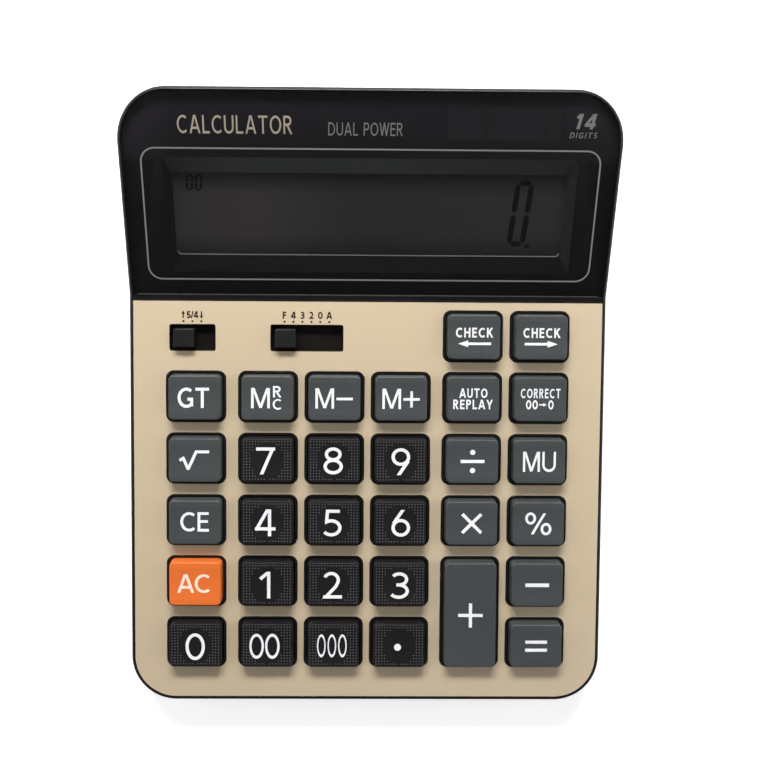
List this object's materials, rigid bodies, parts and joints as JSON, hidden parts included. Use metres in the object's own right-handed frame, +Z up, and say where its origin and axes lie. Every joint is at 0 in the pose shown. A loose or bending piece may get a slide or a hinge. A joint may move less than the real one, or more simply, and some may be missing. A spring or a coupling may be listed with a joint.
{
  "type": "desktop calculator",
  "caption": "Solar desktop calculator with a gold face plate, a sloping black display head, raised rectangular keys and two small slide switches.",
  "frame": {"origin": "centre of the footprint, level with the table under the feet", "axes": "+Y from the front edge towards the display head, +Z up, +X to the user's right"},
  "size_m": [0.1554, 0.196, 0.0497],
  "materials": {
    "case_plastic": "glossy black ABS",
    "gold_aluminium": "satin champagne-gold anodising",
    "acrylic": "clear polished acrylic",
    "black_film": "black print behind the acrylic",
    "frame_plastic": "satin black",
    "lcd_glass": "polished",
    "grey_film": "matt dark grey",
    "striped_rubber": "matt",
    "circuit_board": "green solder mask",
    "epoxy": "satin black epoxy",
    "capacitor_can": "sleeved aluminium",
    "solar_glass": "dark amorphous cell",
    "lead_insulation": "red vinyl",
    "ribbon_film": "grey flat cable",
    "silicone": "grey silicone rubber",
    "cell_wrap": "plain printed wrap",
    "plated_steel": "nickel plated spring steel",
    "foot_rubber": "matt black",
    "screw_steel": "zinc plated",
    "knob_plastic": "satin black",
    "wiper_brass": "spring brass",
    "orange_plastic": "satin orange ABS",
    "black_key_plastic": "satin black ABS",
    "grey_key_plastic": "satin slate-grey ABS"
  },
  "bodies": {
    "case": {"top_case": "case_plastic", "bottom_case": "case_plastic", "face_plate": "gold_aluminium", "display_panel": "acrylic", "panel_mask": "black_film", "lcd_frame": "frame_plastic", "lcd_glass": "lcd_glass", "lcd_reflector": "grey_film", "lcd_connector": "striped_rubber", "display_board": "circuit_board", "controller_chip": "epoxy", "capacitors": "capacitor_can", "solar_cell": "solar_glass", "solar_leads": "lead_insulation", "ribbon_cable": "ribbon_film", "main_board": "circuit_board", "rubber_keypad": "silicone", "battery_cell": "cell_wrap", "battery_spring": "plated_steel", "battery_contact": "plated_steel", "battery_leads": "lead_insulation", "rubber_feet": "foot_rubber", "case_screws": "screw_steel", "board_screws": "screw_steel"},
    "key_check_back": {"key_check_back": "grey_key_plastic"},
    "key_check_next": {"key_check_next": "grey_key_plastic"},
    "key_grand_total": {"key_grand_total": "grey_key_plastic"},
    "key_memory_recall": {"key_memory_recall": "grey_key_plastic"},
    "key_memory_minus": {"key_memory_minus": "grey_key_plastic"},
    "key_memory_plus": {"key_memory_plus": "grey_key_plastic"},
    "key_auto_replay": {"key_auto_replay": "grey_key_plastic"},
    "key_correct": {"key_correct": "grey_key_plastic"},
    "key_square_root": {"key_square_root": "grey_key_plastic"},
    "key_7": {"key_7": "black_key_plastic"},
    "key_8": {"key_8": "black_key_plastic"},
    "key_9": {"key_9": "black_key_plastic"},
    "key_divide": {"key_divide": "grey_key_plastic"},
    "key_mark_up": {"key_mark_up": "grey_key_plastic"},
    "key_clear_entry": {"key_clear_entry": "grey_key_plastic"},
    "key_4": {"key_4": "black_key_plastic"},
    "key_5": {"key_5": "black_key_plastic"},
    "key_6": {"key_6": "black_key_plastic"},
    "key_multiply": {"key_multiply": "grey_key_plastic"},
    "key_percent": {"key_percent": "grey_key_plastic"},
    "key_all_clear": {"key_all_clear": "orange_plastic"},
    "key_1": {"key_1": "black_key_plastic"},
    "key_2": {"key_2": "black_key_plastic"},
    "key_3": {"key_3": "black_key_plastic"},
    "key_plus": {"key_plus": "grey_key_plastic"},
    "key_minus": {"key_minus": "grey_key_plastic"},
    "key_0": {"key_0": "black_key_plastic"},
    "key_00": {"key_00": "black_key_plastic"},
    "key_000": {"key_000": "black_key_plastic"},
    "key_point": {"key_point": "black_key_plastic"},
    "key_equals": {"key_equals": "grey_key_plastic"},
    "rounding_switch": {"rounding_knob": "knob_plastic", "rounding_wiper": "wiper_brass"},
    "decimal_switch": {"decimal_knob": "knob_plastic", "decimal_wiper": "wiper_brass"},
    "battery_door": {"battery_door": "case_plastic"}
  },
  "joints": [
    {"name": "key_check_back_press", "type": "slide", "parent": "case", "child": "key_check_back", "axis": [0, 0.0677, -0.9977], "range_m": [0, 0.0015], "stiffness_N_per_m": 400, "springref_m": -0.0005, "deforming": ["rubber_keypad"]},
    {"name": "key_check_next_press", "type": "slide", "parent": "case", "child": "key_check_next", "axis": [0, 0.0677, -0.9977], "range_m": [0, 0.0015], "stiffness_N_per_m": 400, "springref_m": -0.0005},
    {"name": "key_grand_total_press", "type": "slide", "parent": "case", "child": "key_grand_total", "axis": [0, 0.0677, -0.9977], "range_m": [0, 0.0015], "stiffness_N_per_m": 400, "springref_m": -0.0005},
    {"name": "key_memory_recall_press", "type": "slide", "parent": "case", "child": "key_memory_recall", "axis": [0, 0.0677, -0.9977], "range_m": [0, 0.0015], "stiffness_N_per_m": 400, "springref_m": -0.0005},
    {"name": "key_memory_minus_press", "type": "slide", "parent": "case", "child": "key_memory_minus", "axis": [0, 0.0677, -0.9977], "range_m": [0, 0.0015], "stiffness_N_per_m": 400, "springref_m": -0.0005},
    {"name": "key_memory_plus_press", "type": "slide", "parent": "case", "child": "key_memory_plus", "axis": [0, 0.0677, -0.9977], "range_m": [0, 0.0015], "stiffness_N_per_m": 400, "springref_m": -0.0005},
    {"name": "key_auto_replay_press", "type": "slide", "parent": "case", "child": "key_auto_replay", "axis": [0, 0.0677, -0.9977], "range_m": [0, 0.0015], "stiffness_N_per_m": 400, "springref_m": -0.0005},
    {"name": "key_correct_press", "type": "slide", "parent": "case", "child": "key_correct", "axis": [0, 0.0677, -0.9977], "range_m": [0, 0.0015], "stiffness_N_per_m": 400, "springref_m": -0.0005},
    {"name": "key_square_root_press", "type": "slide", "parent": "case", "child": "key_square_root", "axis": [0, 0.0677, -0.9977], "range_m": [0, 0.0015], "stiffness_N_per_m": 400, "springref_m": -0.0005},
    {"name": "key_7_press", "type": "slide", "parent": "case", "child": "key_7", "axis": [0, 0.0677, -0.9977], "range_m": [0, 0.0015], "stiffness_N_per_m": 400, "springref_m": -0.0005},
    {"name": "key_8_press", "type": "slide", "parent": "case", "child": "key_8", "axis": [0, 0.0677, -0.9977], "range_m": [0, 0.0015], "stiffness_N_per_m": 400, "springref_m": -0.0005},
    {"name": "key_9_press", "type": "slide", "parent": "case", "child": "key_9", "axis": [0, 0.0677, -0.9977], "range_m": [0, 0.0015], "stiffness_N_per_m": 400, "springref_m": -0.0005},
    {"name": "key_divide_press", "type": "slide", "parent": "case", "child": "key_divide", "axis": [0, 0.0677, -0.9977], "range_m": [0, 0.0015], "stiffness_N_per_m": 400, "springref_m": -0.0005},
    {"name": "key_mark_up_press", "type": "slide", "parent": "case", "child": "key_mark_up", "axis": [0, 0.0677, -0.9977], "range_m": [0, 0.0015], "stiffness_N_per_m": 400, "springref_m": -0.0005},
    {"name": "key_clear_entry_press", "type": "slide", "parent": "case", "child": "key_clear_entry", "axis": [0, 0.0677, -0.9977], "range_m": [0, 0.0015], "stiffness_N_per_m": 400, "springref_m": -0.0005},
    {"name": "key_4_press", "type": "slide", "parent": "case", "child": "key_4", "axis": [0, 0.0677, -0.9977], "range_m": [0, 0.0015], "stiffness_N_per_m": 400, "springref_m": -0.0005},
    {"name": "key_5_press", "type": "slide", "parent": "case", "child": "key_5", "axis": [0, 0.0677, -0.9977], "range_m": [0, 0.0015], "stiffness_N_per_m": 400, "springref_m": -0.0005},
    {"name": "key_6_press", "type": "slide", "parent": "case", "child": "key_6", "axis": [0, 0.0677, -0.9977], "range_m": [0, 0.0015], "stiffness_N_per_m": 400, "springref_m": -0.0005},
    {"name": "key_multiply_press", "type": "slide", "parent": "case", "child": "key_multiply", "axis": [0, 0.0677, -0.9977], "range_m": [0, 0.0015], "stiffness_N_per_m": 400, "springref_m": -0.0005},
    {"name": "key_percent_press", "type": "slide", "parent": "case", "child": "key_percent", "axis": [0, 0.0677, -0.9977], "range_m": [0, 0.0015], "stiffness_N_per_m": 400, "springref_m": -0.0005},
    {"name": "key_all_clear_press", "type": "slide", "parent": "case", "child": "key_all_clear", "axis": [0, 0.0677, -0.9977], "range_m": [0, 0.0015], "stiffness_N_per_m": 400, "springref_m": -0.0005},
    {"name": "key_1_press", "type": "slide", "parent": "case", "child": "key_1", "axis": [0, 0.0677, -0.9977], "range_m": [0, 0.0015], "stiffness_N_per_m": 400, "springref_m": -0.0005},
    {"name": "key_2_press", "type": "slide", "parent": "case", "child": "key_2", "axis": [0, 0.0677, -0.9977], "range_m": [0, 0.0015], "stiffness_N_per_m": 400, "springref_m": -0.0005},
    {"name": "key_3_press", "type": "slide", "parent": "case", "child": "key_3", "axis": [0, 0.0677, -0.9977], "range_m": [0, 0.0015], "stiffness_N_per_m": 400, "springref_m": -0.0005},
    {"name": "key_plus_press", "type": "slide", "parent": "case", "child": "key_plus", "axis": [0, 0.0677, -0.9977], "range_m": [0, 0.0015], "stiffness_N_per_m": 600, "springref_m": -0.0005},
    {"name": "key_minus_press", "type": "slide", "parent": "case", "child": "key_minus", "axis": [0, 0.0677, -0.9977], "range_m": [0, 0.0015], "stiffness_N_per_m": 400, "springref_m": -0.0005},
    {"name": "key_0_press", "type": "slide", "parent": "case", "child": "key_0", "axis": [0, 0.0677, -0.9977], "range_m": [0, 0.0015], "stiffness_N_per_m": 400, "springref_m": -0.0005},
    {"name": "key_00_press", "type": "slide", "parent": "case", "child": "key_00", "axis": [0, 0.0677, -0.9977], "range_m": [0, 0.0015], "stiffness_N_per_m": 400, "springref_m": -0.0005},
    {"name": "key_000_press", "type": "slide", "parent": "case", "child": "key_000", "axis": [0, 0.0677, -0.9977], "range_m": [0, 0.0015], "stiffness_N_per_m": 400, "springref_m": -0.0005},
    {"name": "key_point_press", "type": "slide", "parent": "case", "child": "key_point", "axis": [0, 0.0677, -0.9977], "range_m": [0, 0.0015], "stiffness_N_per_m": 400, "springref_m": -0.0005},
    {"name": "key_equals_press", "type": "slide", "parent": "case", "child": "key_equals", "axis": [0, 0.0677, -0.9977], "range_m": [0, 0.0015], "stiffness_N_per_m": 400, "springref_m": -0.0005},
    {"name": "rounding_slide", "type": "slide", "parent": "case", "child": "rounding_switch", "axis": [1, 0, 0], "range_m": [0, 0.0059]},
    {"name": "decimal_slide", "type": "slide", "parent": "case", "child": "decimal_switch", "axis": [1, 0, 0], "range_m": [0, 0.0146]},
    {"name": "battery_door_slide", "type": "slide", "parent": "case", "child": "battery_door", "axis": [0, 1, 0], "range_m": [0, 0.015]}
  ]
}
